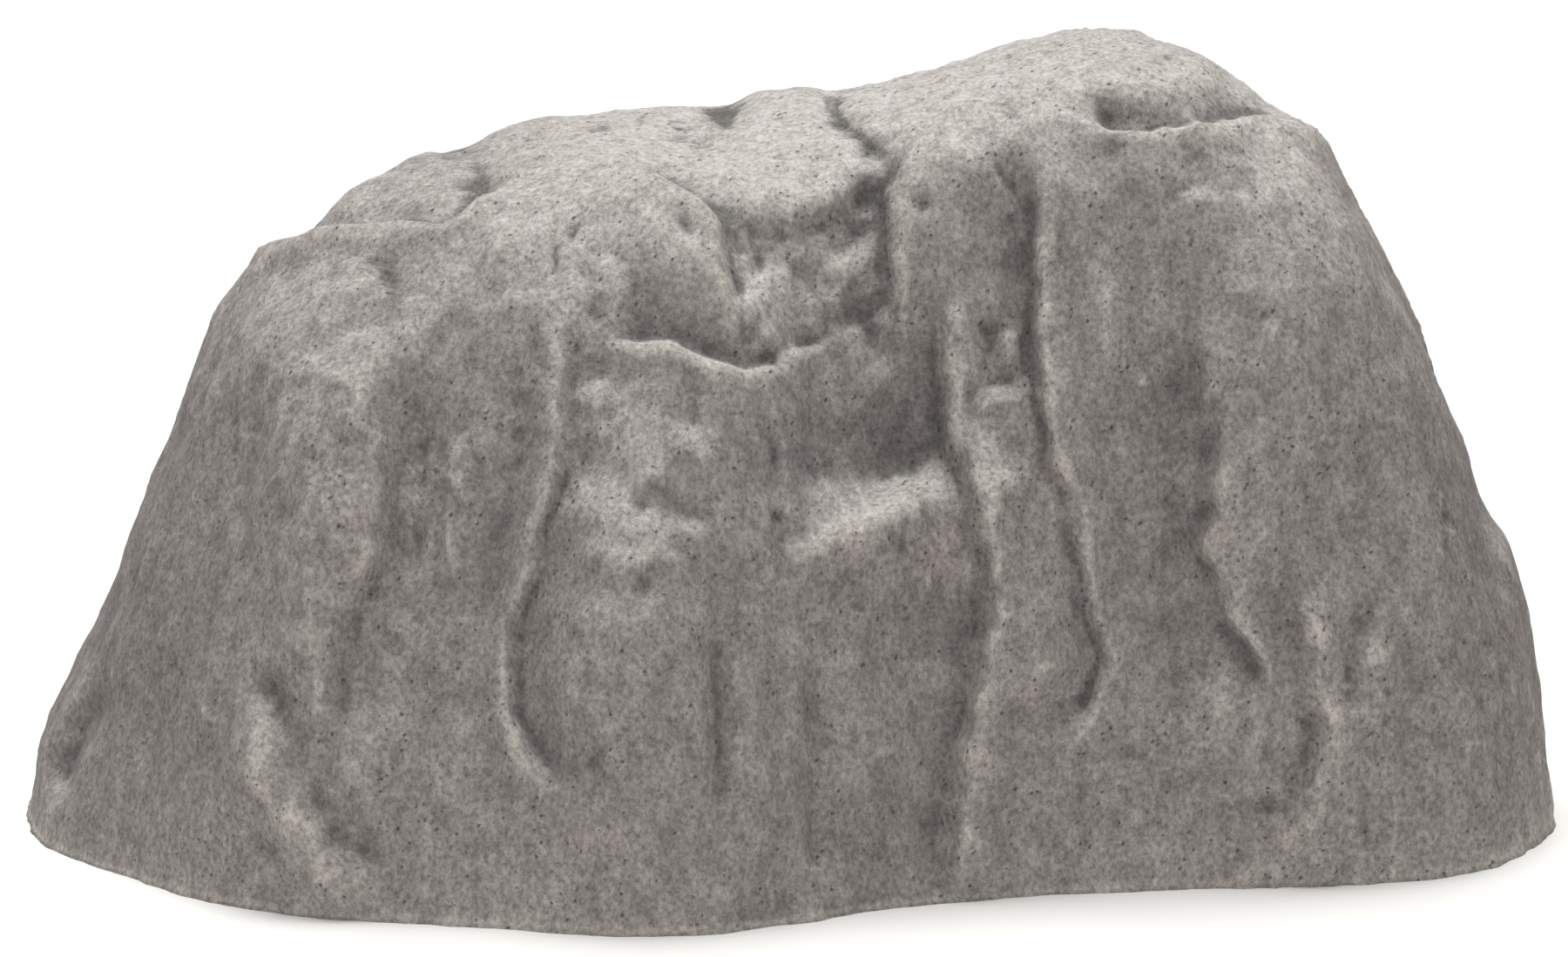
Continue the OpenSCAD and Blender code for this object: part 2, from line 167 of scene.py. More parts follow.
# Soft ridges and grooves between the creases, drawn the same way: (points, half width, height),
# with a negative height for a groove
STROKES = [
    # left pillar
    ([(-322, 275), (-299, 281), (-276, 275), (-266, 259), (-263, 239)], 5, 2.6),
    ([(-322, 245), (-319, 259), (-306, 265)], 4, 2.4),
    ([(-279, 260), (-271, 250), (-274, 241)], 4, 2.4),
    ([(-297, 247), (-294, 257)], 6, -2.2),
    ([(-287, 213), (-293, 167), (-306, 122), (-319, 87)], 22, 6),
    # wall under the left ledge
    ([(-282, 339), (-269, 340), (-261, 329)], 4, 2.6),
    ([(-182, 336), (-175, 329)], 6, 3.5),
    ([(-190, 382), (-186, 345)], 13, 5),
    ([(-263, 376), (-264, 345)], 15, -2.5),
    ([(-330, 362), (-290, 369), (-250, 366)], 14, 3),
    ([(-233, 390), (-222, 394), (-207, 398)], 9, -5),
    # trough left of the bulb
    ([(-198, 282), (-206, 247), (-216, 190), (-219, 133), (-225, 82)], 16, 7),
    ([(-218, 241), (-219, 226)], 4, 2),
    ([(-245, 287), (-242, 236), (-243, 179), (-250, 133)], 16, -3.5),
    ([(-170, 293), (-176, 236), (-190, 167), (-199, 99)], 12, -3.5),
    # large bulb
    ([(-137, 163), (-125, 173), (-106, 159), (-80, 166), (-62, 159)], 6, 3.2),
    ([(-62, 159), (-57, 133), (-66, 96)], 8, 3.5),
    ([(-93, 159), (-89, 139)], 7, -3),
    ([(-135, 139), (-142, 99), (-135, 59)], 16, 3.5),
    ([(-99, 133), (-96, 82)], 32, 9),
    # wall over the bulb
    ([(-124, 282), (-125, 265), (-120, 246)], 7, 5),
    ([(-134, 277), (-135, 267)], 4, 2.4),
    ([(-125, 260), (-114, 255)], 5, -2),
    ([(-77, 232), (-67, 236), (-58, 231), (-53, 224), (-58, 217)], 4, 2.4),
    ([(-99, 213), (-89, 220), (-79, 213)], 5, 2),
    ([(-66, 298), (-67, 276), (-67, 250)], 9, -4),
    ([(-6, 247), (-6, 210)], 6, -2.4),
    ([(-1, 249), (-1, 230), (1, 212)], 4, 2.4),
    ([(-107, 190), (-85, 199), (-53, 196)], 9, -3.5),
    # left block
    ([(-73, 378), (-61, 371)], 7, -4),
    ([(-55, 369), (-53, 362)], 5, -3),
    ([(-138, 363), (-135, 351), (-127, 340)], 4, -2.4),
    ([(-125, 390), (-107, 399), (-85, 401)], 13, 4),
    ([(-136, 327), (-119, 321)], 10, -3),
    # hollow below the roof
    ([(-29, 387), (-23, 376), (-15, 359)], 4, -2.4),
    ([(-37, 383), (-33, 366)], 4, -2.4),
    ([(25, 331), (33, 339), (41, 349)], 5, 2.6),
    ([(17, 321), (28, 330)], 4, 2.4),
    ([(65, 342), (66, 325), (63, 309)], 5, -4),
    ([(-2, 362), (4, 339)], 6, 1.8),
    ([(-16, 319), (-2, 307)], 8, 3),
    ([(-33, 313), (-21, 309)], 6, -3.5),
    ([(30, 379), (44, 362)], 7, -2),
    # scoop
    ([(10, 171), (33, 183), (58, 197), (82, 215), (99, 231)], 7, 3.5),
    ([(30, 199), (55, 210), (78, 227), (93, 245)], 15, -2),
    ([(102, 313), (104, 282), (106, 247), (110, 222)], 5, 4),
    ([(112, 316), (117, 276), (120, 236)], 8, -2.4),
    ([(47, 258), (53, 273), (61, 286), (70, 297)], 7, 3.4),
    ([(86, 282), (89, 247)], 7, 2.4),
    ([(33, 265), (30, 213)], 16, -3.5),
    ([(70, 259), (70, 222)], 12, -3),
    # right block
    ([(78, 389), (89, 394)], 6, -4),
    ([(142, 381), (139, 367), (134, 351)], 5, -3),
    ([(81, 410), (98, 422), (115, 426)], 9, 4),
    ([(110, 385), (113, 356)], 18, 3),
    ([(178, 370), (184, 368)], 5, 3.2),
    ([(179, 363), (187, 364)], 5, -2.4),
    # panel
    ([(141, 314), (142, 294)], 7, 5.5),
    ([(129, 323), (127, 286)], 8, -5),
    ([(151, 317), (153, 282)], 6, -5),
    ([(120, 263), (133, 271), (151, 271)], 6, 4),
    ([(121, 278), (149, 282)], 6, -2.6),
    ([(133, 253), (138, 230)], 14, -2.6),
    # right bulb
    ([(121, 183), (127, 199), (138, 213), (151, 220)], 6, 4),
    ([(138, 196), (147, 162)], 12, -2.4),
    ([(155, 139), (161, 82)], 24, 6),
    ([(133, 167), (133, 110), (127, 65)], 9, -2.4),
    # right pillar
    ([(269, 335), (282, 342), (298, 338), (313, 334), (322, 325), (322, 309)], 5, 2.6),
    ([(307, 309), (313, 317)], 4, 2.4),
    ([(303, 319), (305, 325)], 6, -2.6),
    ([(257, 387), (257, 399), (273, 402)], 5, 2.6),
    ([(338, 311), (346, 268), (357, 230)], 9, -3.4),
    ([(295, 259), (299, 213), (310, 162)], 22, 6),
    # trough left of the right pillar
    ([(225, 291), (226, 276)], 4, 2.6),
    ([(224, 259), (230, 213), (235, 162), (239, 93)], 15, 7),
    ([(197, 345), (199, 305)], 13, 4),
    ([(250, 287), (253, 236), (254, 179), (263, 133)], 17, -0.5),
    ([(202, 265), (205, 213), (215, 167)], 12, -3),
    ([(261, 437), (261, 406)], 14, -2.5),
    ([(218, 419), (241, 416)], 14, 3),
    # foot
    ([(-377, 73), (-366, 58)], 7, 3.5),
    ([(-344, 78), (-330, 55), (-323, 38)], 8, 3.5),
    ([(326, 139), (334, 109)], 9, 4),
    ([(374, 124), (365, 82)], 7, 3),
    ([(-49, 162), (-48, 99), (-47, 30), (-49, -44)], 8, -4.5),
    ([(-26, 122), (-23, 42), (-26, -38)], 10, 4),
    ([(-36, 110), (-34, 19)], 8, 2),
    ([(18, 87), (21, 7), (17, -44)], 11, -5),
    ([(-2, 122), (2, 42)], 9, 3),
    ([(44, 122), (53, 59), (47, -4)], 18, 4.5),
    ([(190, 16), (210, -15)], 14, -3),
    ([(-199, 53), (-182, 19)], 12, -3),
    ([(-233, 30), (-210, 2)], 12, 2.5),
    # roof
    ([(-125, 450), (-96, 454), (-62, 452), (-41, 446)], 7, 5),
    ([(-119, 440), (-85, 442), (-48, 438)], 6, -2.5),
    ([(-33, 461), (-5, 469), (23, 461)], 20, 5),
    ([(33, 452), (53, 466), (84, 473), (117, 482)], 9, 4.5),
    ([(55, 452), (87, 461), (115, 469)], 6, -3),
    ([(30, 462), (38, 450)], 5, -2),
    ([(-199, 437), (-165, 446), (-137, 447)], 9, 3.5),
    ([(-250, 416), (-222, 430), (-199, 433)], 10, -1.5),
    ([(167, 499), (207, 505), (241, 502)], 10, 3.5),
    ([(253, 490), (281, 473)], 9, 3.5),
    ([(127, 447), (155, 470), (178, 476)], 14, -3),
    ([(-259, 425), (-239, 431), (-227, 427)], 6, 4),
]
# Short grooves that water has worn below the slanting shelf and under the ledges:
# (x, height of the top, length, half width)
RUNNELS = [(72, 196, 36, 2.6), (79, 200, 44, 2.4), (87, 206, 38, 2.6), (94, 213, 32, 2.4),
           (64, 190, 26, 2.4), (-262, 379, 62, 8), (255, 440, 58, 8), (-59, 295, 66, 7),
           (-2, 200, 120, 7), (-48, 120, 130, 8), (23, 130, 120, 9), (-222, 220, 150, 12)]


def fade(low, high, value):
    """0 below low and 1 above high, with a smooth S between."""
    t = np.clip((value - low) / (high - low), 0, 1)
    return t * t * (3 - 2 * t)


def curve_through(table, s, closed=False):
    """A Catmull-Rom curve through a table's values, read at positions s."""
    i = np.floor(s).astype(int)
    t = s - i
    n = len(table)
    around = [(i + k) % n if closed else np.clip(i + k, 0, n - 1) for k in (-1, 0, 1, 2)]
    p0, p1, p2, p3 = (table[k] for k in around)
    return p1 + 0.5 * t * (p2 - p0 + t * (2 * p0 - 5 * p1 + 4 * p2 - p3 + t * (3 * (p1 - p2) + p3 - p0)))


def foot_radius(a):
    """Radius of the foot's outline at an angle."""
    return curve_through(FOOT_RADII, (a % 360) / 10, closed=True)


def ridge(x):
    """Height of the ridge at a distance from the middle, towards the right-hand end."""
    share = np.clip(x / LENGTH + 0.5, 0, 0.9999)
    return curve_through(RIDGE_HEIGHTS, share * (len(RIDGE_HEIGHTS) - 1))


def squareness(a):
    """The power in plain's formula, which changes from the front to the ends with cosine squared."""
    return FRONT_SQUARE + (ENDS_SQUARE - FRONT_SQUARE) * np.cos(np.radians(a)) ** 2


def plain(a, share):
    """The plain form: at a share of the foot's radius the height is the ridge's times
    (1 - share ^ squareness) ^ (1 / crown)."""
    r = share * foot_radius(a)
    x, y = r * np.cos(np.radians(a)), r * np.sin(np.radians(a))
    return np.stack([x, y, ridge(x) * np.maximum(0, 1 - share ** squareness(a)) ** (1 / CROWN)], -1)


def unit(v):
    """Vectors scaled to a length of 1."""
    return v / np.maximum(np.linalg.norm(v, axis=-1, keepdims=True), 1e-9)


def outward(a, share):
    """The plain form's normal: the step down the wall crossed with the step along it."""
    share = np.maximum(share, 0.01)
    down = plain(a, np.minimum(1, share + 0.02)) - plain(a, np.maximum(0.005, share - 0.02))
    return unit(np.cross(down, plain(a + 1, share) - plain(a - 1, share)))


def arch(a):
    """Height of the mouth's arch: a superellipse over the mouth's spread."""
    t = np.minimum(1, np.abs(a - MOUTH_ANGLE) / MOUTH_SPREAD)
    return MOUTH_H * (1 - t ** MOUTH_SQUARE) ** (1 / MOUTH_SQUARE)


def wall_end(a):
    """Share of the radius at which the wall ends: 1 at the foot, less over the mouth."""
    top = ridge(0.95 * foot_radius(a) * np.cos(np.radians(a)))
    return (1 - (arch(a) / top) ** CROWN) ** (1 / squareness(a))


def swell_sum(x, v, swells=SWELLS):
    """Sum of the swells, each a bell curve in both directions."""
    return sum(h * np.exp(-((x - cx) / wx) ** 2 - ((v - cv) / wv) ** 2) for cx, cv, wx, wv, h in swells)


# ---------------------------------------------------------------- creases and noise

LATTICE = np.random.default_rng(20).random((48, 48, 48))


def lumps(p, cell, seed):
    """Value noise from -1 to 1: random values on a lattice with that cell size (one number, or one
    for each axis), eased between its corners."""
    q = p / np.array(cell) + np.random.default_rng(seed).random(3) * 40
    i = np.floor(q).astype(int)
    t = q - i
    t = t * t * (3 - 2 * t)
    n = len(LATTICE)
    total = 0
    for corner in np.ndindex(2, 2, 2):
        weight = np.prod(np.where(corner, t, 1 - t), axis=-1)
        total = total + weight * LATTICE[tuple((i[:, k] + corner[k]) % n for k in range(3))]
    return 2 * total - 1


def along_crease(points):
    """A smooth line through a crease's points, cut into short chords."""
    p = np.array(points, float)
    s = np.linspace(0, len(p) - 1.0001, 6 * (len(p) - 1) + 1)
    return np.stack([curve_through(p[:, 0], s), curve_through(p[:, 1], s)], -1)


def line_frame(x, v, points, reach):
    """For the points near a line: which they are, the distance across the line (positive to its
    left), how far along the line they lie, and how far inside both its ends, measured along the
    straight line from end to end."""
    line = along_crease(points)
    low, high = line.min(0) - reach, line.max(0) + reach
    near = (x > low[0]) & (x < high[0]) & (v > low[1]) & (v < high[1])
    px, pv = x[near], v[near]
    best = np.full(px.shape, 1e9)
    across, run = np.zeros_like(px), np.zeros_like(px)
    walked = 0.0
    for p, q in zip(line[:-1], line[1:]):
        e = q - p
        size = max(np.hypot(*e), 1e-6)
        t = np.clip(((px - p[0]) * e[0] + (pv - p[1]) * e[1]) / size ** 2, 0, 1)
        dx, dv = px - p[0] - t * e[0], pv - p[1] - t * e[1]
        d = np.hypot(dx, dv)
        closer = d < best
        best = np.where(closer, d, best)
        across = np.where(closer, d * np.sign(e[0] * dv - e[1] * dx), across)
        run = np.where(closer, walked + t * size, run)
        walked += size
    chord = line[-1] - line[0]
    span_of = np.hypot(*chord)
    along = ((px - line[0, 0]) * chord[0] + (pv - line[0, 1]) * chord[1]) / span_of
    return near, across, run, np.minimum(along, span_of - along)


def uneven(run, cell, seed):
    """Noise from -1 to 1 along a line."""
    return lumps(np.stack([run, 0 * run, 0 * run], -1), cell, seed)


def crease(x, v, points, side, crest, crest_w, drop, drop_w, back_w, widen=1.0):
    """Relief of one crease. With g the distance across the line, positive away from the crest, the
    wall bears a round crest beside the line, falls by drop over drop_w in an S, and comes back
    along a bell curve over back_w. Crest and drop vary along the line, and die away at its ends."""
    out = np.zeros_like(x)
    near, across, run, inside = line_frame(x, v, points, 2.5 * max(crest_w, back_w) * widen)
    if not near.any():
        return out
    ends = fade(0, min(max(30, 1.2 * back_w), 0.9 * inside.max()), inside)
    g = -across * side
    seed = int(abs(points[0][0])) + 40
    drop = drop * (1 + 0.2 * uneven(run, 34, seed)) * (1 if widen == 1 else 1.1)
    drop_w = drop_w * (1.25 + 0.5 * uneven(run, 26, seed + 1))
    crest = crest * np.maximum(0.1, 1 + 0.5 * uneven(run, 19, seed + 2))
    back = np.exp(-(np.maximum(0, g - drop_w / 2) / (back_w * widen)) ** 2)
    fall = fade(-drop_w / 2 * widen, drop_w / 2, g) * back
    out[near] = ends * (crest * np.exp(-((g + 0.7 * drop_w) / crest_w) ** 2) - drop * fall)
    return out


def stroke(x, v, points, half, height):
    """A soft ridge or groove: a bell across, uneven along its length and tapered at its ends."""
    out = np.zeros_like(x)
    near, across, run, inside = line_frame(x, v, points, 2.5 * half)
    if near.any():
        ends = fade(-half, max(half, 0.6 * inside.max()), inside)
        out[near] = height * ends * (1 + 0.4 * uneven(run, 15, 39)) * np.exp(-(across / half) ** 2)
    return out


def runnel_sum(x, v):
    """Narrow upright grooves, each a bell across and fading along its length."""
    total = np.zeros_like(x)
    for cx, top, length, half in RUNNELS:
        along = fade(top - length, top - 0.5 * length, v) * (1 - fade(top - 8, top, v))
        total -= (1.6 + 0.12 * half) * np.exp(-((x - cx) / half) ** 2) * along
    return total


def drawn_relief(x, v, widen=1.0):
    """All that is drawn on the plane, its lines made wavy by 2 to 3 mm."""
    if widen == 1:
        q = np.stack([x, v, 0 * x], -1)
        x, v = (w + 2.2 * lumps(q, 21, seed) + 1.2 * lumps(q, 9, seed + 1) for w, seed in ((x, 31), (v, 33)))
    drawn = sum(crease(x, v, *c, widen=widen) for c in CREASES.values()) + runnel_sum(x, v)
    return drawn + swell_sum(x, v, FULLNESS) + sum(stroke(x, v, *c) for c in STROKES)


def both_faces(p, drawn):
    """Lays a drawing on the show face, and turned round on the rear wall, blended in between."""
    rear = fade(REAR_STARTS, REAR_FULL, p[:, 1])
    up = p[:, 2] * math.cos(math.radians(LEAN))
    back = p[:, 1] * math.sin(math.radians(LEAN))
    front = drawn(p[:, 0], up + back)
    return (1 - rear) * front + rear * REAR_RELIEF * drawn(-p[:, 0] / REAR_WIDTH, up - back)


def ridged(p, cell, seed):
    """Sharp-crested lumps from -1 to 1."""
    return 1 - 2 * np.abs(lumps(p, cell, seed)) ** 0.8


def rock_grain(p, up):
    """Uneven surface of the cast stone, in mm: broad undulations, lumps drawn out down the wall,
    patches of small knobs, and chips over the roof. up is 0 on a wall and 1 on the roof."""
    broad = 3.0 * lumps(p, 78, 1) + 2.0 * lumps(p, 39, 2)
    drawn_out = 3.4 * lumps(p, (42, 42, 240), 10) + 1.5 * lumps(p, (15, 15, 60), 3)
    drawn_out = drawn_out + 0.8 * lumps(p, (8, 8, 30), 4)
    patches = fade(0.05, 0.5, lumps(p, 55, 5))
    knobs = 1.6 * patches * ridged(p, (13, 13, 17), 6) + 0.5 * lumps(p, 7, 7)
    chips = 1.5 * ridged(p, 24, 8) + 1.0 * ridged(p, 11, 9)
    return broad + (1 - up) * (drawn_out + knobs) + up * chips


# ---------------------------------------------------------------- meshes

def mesh_object(name, points, faces, body="shell"):
    """A closed piece from points in mm and faces, riding on a CAD body."""
    mesh = bpy.data.meshes.new(name)
    mesh.from_pydata((points * MM).tolist(), [], faces)
    mesh.validate()
    mesh.update()
    mesh.shade_smooth()
    piece = bpy.data.objects.new(name, mesh)
    bpy.context.scene.collection.objects.link(piece)
    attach(piece, body)
    return piece


def store(piece, name, values):
    """A number for each vertex, which a material can read."""
    layer = piece.data.attributes.new(name, "FLOAT", "POINT")
    layer.data.foreach_set("value", np.asarray(values, np.float32))


def disc_layout(columns, rings):
    """A disc of quads with no pole: a square of columns / 4 cells a side, bent into rings round its
    middle cell corner, inside plain rings. Returns each point's ring and place round it (0 to 1),
    and the quads, which face up if places run counterclockwise. The rim is the last of the points."""
    cells = columns // 4
    half = cells // 2
    i, j = np.meshgrid(np.arange(-half, half + 1), np.arange(-half, half + 1), indexing="ij")
    ring = np.maximum(np.abs(i), np.abs(j))
    safe = np.maximum(ring, 1)
    side = np.where(i == ring, 0, np.where(j == ring, 1, np.where(i == -ring, 2, 3)))
    local = np.choose(side, [j / safe, -i / safe, -j / safe, i / safe])
    place = ((side + 0.5 + 0.5 * local) / 4) % 1
    number = np.arange((cells + 1) ** 2).reshape(cells + 1, cells + 1)
    inner = np.stack([number[:-1, :-1], number[1:, :-1], number[1:, 1:], number[:-1, 1:]], -1).reshape(-1, 4)
    edge = np.concatenate([number[-1, :-1], number[::-1, -1][:-1], number[0, ::-1][:-1], number[:-1, 0]])
    outer_ring = np.repeat(np.arange(1, rings - half + 1), columns)
    outer_place = np.tile(np.arange(columns) / columns, rings - half)
    grid = np.vstack([edge, number.size + np.arange((rings - half) * columns).reshape(rings - half, columns)])
    a, b = grid[:-1], grid[1:]
    quads = np.stack([a, b, np.roll(b, -1, 1), np.roll(a, -1, 1)], -1).reshape(-1, 4)
    rings_of = np.concatenate([ring.ravel(), half + outer_ring]) / rings
    return rings_of, np.concatenate([place.ravel(), outer_place]), np.vstack([inner, quads])


def column_angle(place):
    """Angle of a column from its place round the disc. Columns lie evenly along the foot, closer on
    the show face and closest at the two sides of the mouth."""
    a = np.linspace(0, 360, 2881)
    foot = np.stack([foot_radius(a) * np.cos(np.radians(a)), foot_radius(a) * np.sin(np.radians(a))], -1)
    step = np.linalg.norm(np.diff(foot, axis=0), axis=1)
    middle = (a[1:] + a[:-1]) / 2
    sides = sum(np.exp(-((middle - MOUTH_ANGLE - s * MOUTH_SPREAD) / 2) ** 2) for s in (-1, 1))
    weight = 1 + 0.9 * fade(175, 200, middle) * (1 - fade(340, 365, middle)) + 3 * sides
    travelled = np.concatenate([[0], np.cumsum(step * weight)])
    return np.interp(place, travelled / travelled[-1], a)


def ring_share(ring):
    """Share of the radius for a ring from 0 to 1: rings lie evenly down a typical section."""
    share = 1 - np.linspace(1, 0, 1500) ** 2
    depth, height = 330 * share, 460 * (1 - share ** 3.4) ** (1 / CROWN)
    travelled = np.concatenate([[0], np.cumsum(np.hypot(np.diff(depth), np.diff(height)))])
    return np.interp(ring, travelled / travelled[-1], share)


def vent_place(which):
    """Middle of a vent's seat on the wall and the vent's axis."""
    a, share = np.array([float(VENT_ANGLES[which])]), np.array([VENT_SHARE])
    p, n = plain(a, share), outward(a, share)
    return (p + both_faces(p, swell_sum)[:, None] * n)[0], n[0]


def over_mouth(p, a):
    """1 at the mouth's edge, falling to 0 further up the wall and beside the mouth."""
    near = np.abs(a - MOUTH_ANGLE) < MOUTH_SPREAD + 6
    return np.where(near, 1 - fade(8, 45, p[:, 2] - arch(a)), 0)


def wall_relief(p, n, a, inner):
    """How far the outer face stands out from the plain form, or the inner one from it. The inner
    face keeps clear of the creases, and only the broad swells reach the mouth's edge."""
    calm = 1 - over_mouth(p, a)
    relief = both_faces(p, swell_sum)
    if inner:
        hollow = np.minimum(0, both_faces(p, lambda x, v: drawn_relief(x, v, widen=1.6)))
        return relief - WALL + calm * (1.3 * hollow - 10)
    smooth = both_faces(p, lambda x, v: np.exp(-((x - 45) / 50) ** 2 - ((v - 250) / 48) ** 2))
    grain = rock_grain(p, fade(0.75, 0.95, n[:, 2])) * (1 - 0.7 * smooth)
    return relief + calm * (both_faces(p, drawn_relief) + grain + 2.2 * np.exp(-p[:, 2] / 3))


def shell_skin(columns, rings, inner):
    """Points of the shell's outer or inner skin, its quads, and which points are on its rim."""
    ring, place, quads = disc_layout(columns, rings)
    a = column_angle(place)
    share = ring_share(ring)
    share = share * (1 - (1 - wall_end(a)) * share ** 5)
    p, n = plain(a, share), outward(a, share)
    relief = wall_relief(p, n, a, inner)
    q = p + relief[:, None] * n
    mouth = np.abs(a - MOUTH_ANGLE) < MOUTH_SPREAD + 6
    q[:, 2] = p[:, 2] + relief * n[:, 2] * fade(0, 30, p[:, 2] - arch(a) * mouth)
    for which in VENT_ANGLES:
        spot, axis = vent_place(which)
        away = q - spot + (WALL if inner else 0) * axis
        height = away @ axis
        radius = np.linalg.norm(away - height[:, None] * axis, axis=1)
        facing = (n @ axis) > 0.3
        q = q - (facing * (1 - fade(PAD_R + 2, PAD_R + 26, radius)) * height)[:, None] * axis
    rim = ring > 0.99999
    q[rim & (arch(a) == 0), 2] = 0
    return q, quads, rim


OUTER_COLUMNS, OUTER_RINGS = 768, 156
INNER_COLUMNS, INNER_RINGS = 256, 52


def neighbour_mean(values, edges, rounds):
    """Each vertex's values averaged with its neighbours', several times over."""
    count = np.bincount(edges.ravel(), minlength=len(values))[:, None] + 1
    for _ in range(rounds):
        total = values.copy()
        for a, b in ((0, 1), (1, 0)):
            for k in range(values.shape[1]):
                total[:, k] += np.bincount(edges[:, a], values[edges[:, b], k], minlength=len(values))
        values = total / count
    return values


def cut_with(piece, tools):
    """Cuts the tools' shapes out of a piece and removes the tools."""
    for tool in tools:
        cut = piece.modifiers.new("cut", "BOOLEAN")
        cut.operation, cut.object, cut.solver = "DIFFERENCE", tool, "MANIFOLD"
        bpy.context.view_layer.update()
        ready = bpy.data.meshes.new_from_object(piece.evaluated_get(bpy.context.evaluated_depsgraph_get()))
        piece.modifiers.clear()
        old, piece.data = piece.data, ready
        name = old.name
        bpy.data.meshes.remove(old)
        ready.name = name
        bpy.data.objects.remove(tool)


def store_painted_light_layers(piece, points):
    """Stores what the stone's material reads at each vertex: how far it stands out from its near, wider and
    far surroundings, for painted shade in the hollows and painted highlights on the crests; where painted
    light falls over the top and where the stone is paler near the ground; and where painted shade lies on its
    two ends."""
    edges = np.zeros(2 * len(piece.data.edges), np.int32)
    piece.data.edges.foreach_get("vertices", edges)
    edges = edges.reshape(-1, 2)
    normal = np.zeros(3 * len(points), np.float32)
    piece.data.vertices.foreach_get("normal", normal)
    normal = normal.reshape(-1, 3)
    # How far each vertex stands out or sinks in, from which the material paints shade in the hollows and
    # highlights on the crests
    for layer, rounds in (("fine_relief", 4), ("wide_relief", 30), ("broad_relief", 160)):
        store(piece, layer, ((points - neighbour_mean(points, edges, rounds)) * normal).sum(1))
    up = neighbour_mean(normal.astype(float), edges, 2)[:, 2]
    off_centre, height = np.abs(points[:, 0]), points[:, 2]
    # Paler near the ground: a ragged band at the foot line, and low on the wall away from the middle
    lip = 0.7 * np.exp(-height / 2.0) * fade(0, 0.6, lumps(points, 70, 45))
    paler_low_on_wall = 0.2 * fade(0, 200, off_centre) * np.exp(-height / 70)
    # Painted light on the upward faces of the top, half as strong at the left end
    roof = fade(0.3, 0.95, up) * (0.5 + 0.5 * fade(-260, -90, points[:, 0]))
    store(piece, "painted_top_light_and_paler_foot", roof + lip + paler_low_on_wall)
    # Painted shade on the two end walls, less over the top
    store(piece, "painted_end_shade", fade(330, 470, off_centre) * (1 - 0.7 * fade(0.4, 0.8, up)))


def rock_shell(stone, laminate):
    """The moulded boulder: a fine outer skin, a coarse laminated inner one, and the wall's edge between them.
    The two vent holes are cut through it afterwards."""
    outer, outer_quads, outer_rim = shell_skin(OUTER_COLUMNS, OUTER_RINGS, inner=False)
    inner, inner_quads, inner_rim = shell_skin(INNER_COLUMNS, INNER_RINGS, inner=True)
    ratio = OUTER_COLUMNS // INNER_COLUMNS
    o = np.flatnonzero(outer_rim)
    i = np.flatnonzero(inner_rim) + len(outer)
    i_of = np.roll(np.repeat(i, ratio), ratio // 2)
    o_next, i_next = np.roll(o, -1), np.roll(i_of, -1)
    first = np.stack([o, i_of, o_next], -1)
    step = i_next != i_of
    second = np.stack([o_next, i_of, i_next], -1)[step]
    faces = outer_quads.tolist() + (inner_quads[:, ::-1] + len(outer)).tolist()
    faces += first.tolist() + second.tolist()
    both = np.vstack([outer, inner])
    piece = mesh_object("stone_shell", both, faces)
    piece.data.materials.append(stone)
    piece.data.materials.append(laminate)
    kinds = np.zeros(len(faces), np.int32)
    kinds[len(outer_quads):len(outer_quads) + len(inner_quads)] = 1
    piece.data.polygons.foreach_set("material_index", kinds)
    store_painted_light_layers(piece, both)
    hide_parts("rock_shell")
    return piece


def drill(which):
    """A round bar along a vent's axis, to cut its hole."""
    spot, axis = vent_place(which)
    bpy.ops.mesh.primitive_cylinder_add(vertices=96, radius=VENT_R * MM, depth=100 * MM)
    tool = bpy.context.object
    tool.rotation_mode = "QUATERNION"
    tool.rotation_quaternion = Vector(axis).to_track_quat("Z", "Y")
    tool.location = spot * MM
    return tool


# ---------------------------------------------------------------- other pieces

def solid(name, parts, material, body, node):
    """One piece made of closed parts, each (points in mm, faces). A part whose faces enclose a
    negative volume is turned the right way out."""
    points, faces = [], []
    for p, f in parts:
        p = np.asarray(p, float)
        volume = sum(np.einsum("ij,ij->i", p[c[:, 0]], np.cross(p[c[:, k]], p[c[:, k + 1]])).sum()
                     for c in by_length(f) for k in range(1, c.shape[1] - 1))
        start = sum(len(q) for q in points)
        points.append(p)
        faces += [[start + v for v in (c if volume > 0 else c[::-1])] for c in f]
    piece = mesh_object(name, np.vstack(points), faces, body)
    piece.data.set_sharp_from_angle(angle=math.radians(40))
    piece.data.materials.append(material)
    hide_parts(node)
    return piece


def by_length(faces):
    """Faces sorted into one array for each number of corners."""
    return [np.array([f for f in faces if len(f) == n]) for n in sorted({len(f) for f in faces})]


def grid_faces(rows, columns, wrap_rows=False, wrap_columns=True):
    """Quads of a grid of points numbered row by row."""
    i = np.arange(rows if wrap_rows else rows - 1)[:, None]
    j = np.arange(columns if wrap_columns else columns - 1)[None, :]
    i2, j2 = (i + 1) % rows, (j + 1) % columns
    corners = [i * columns + j, i * columns + j2, i2 * columns + j2, i2 * columns + j]
    return np.stack(corners, -1).reshape(-1, 4)


def tube_faces(rings, corners):
    """Faces of a tube of rings, with flat faces over its two ends."""
    ends = [list(range(corners - 1, -1, -1)), [(rings - 1) * corners + k for k in range(corners)]]
    return grid_faces(rings, corners).tolist() + ends


def swept(profile, path, across, away):
    """A closed profile carried along an open path: each ring is path + u across + w away, and flat
    faces close the two ends."""
    profile = np.asarray(profile, float)
    rings = path[:, None] + profile[None, :, :1] * across[:, None] + profile[None, :, 1:] * away[:, None]
    return rings.reshape(-1, 3), tube_faces(len(path), len(profile))


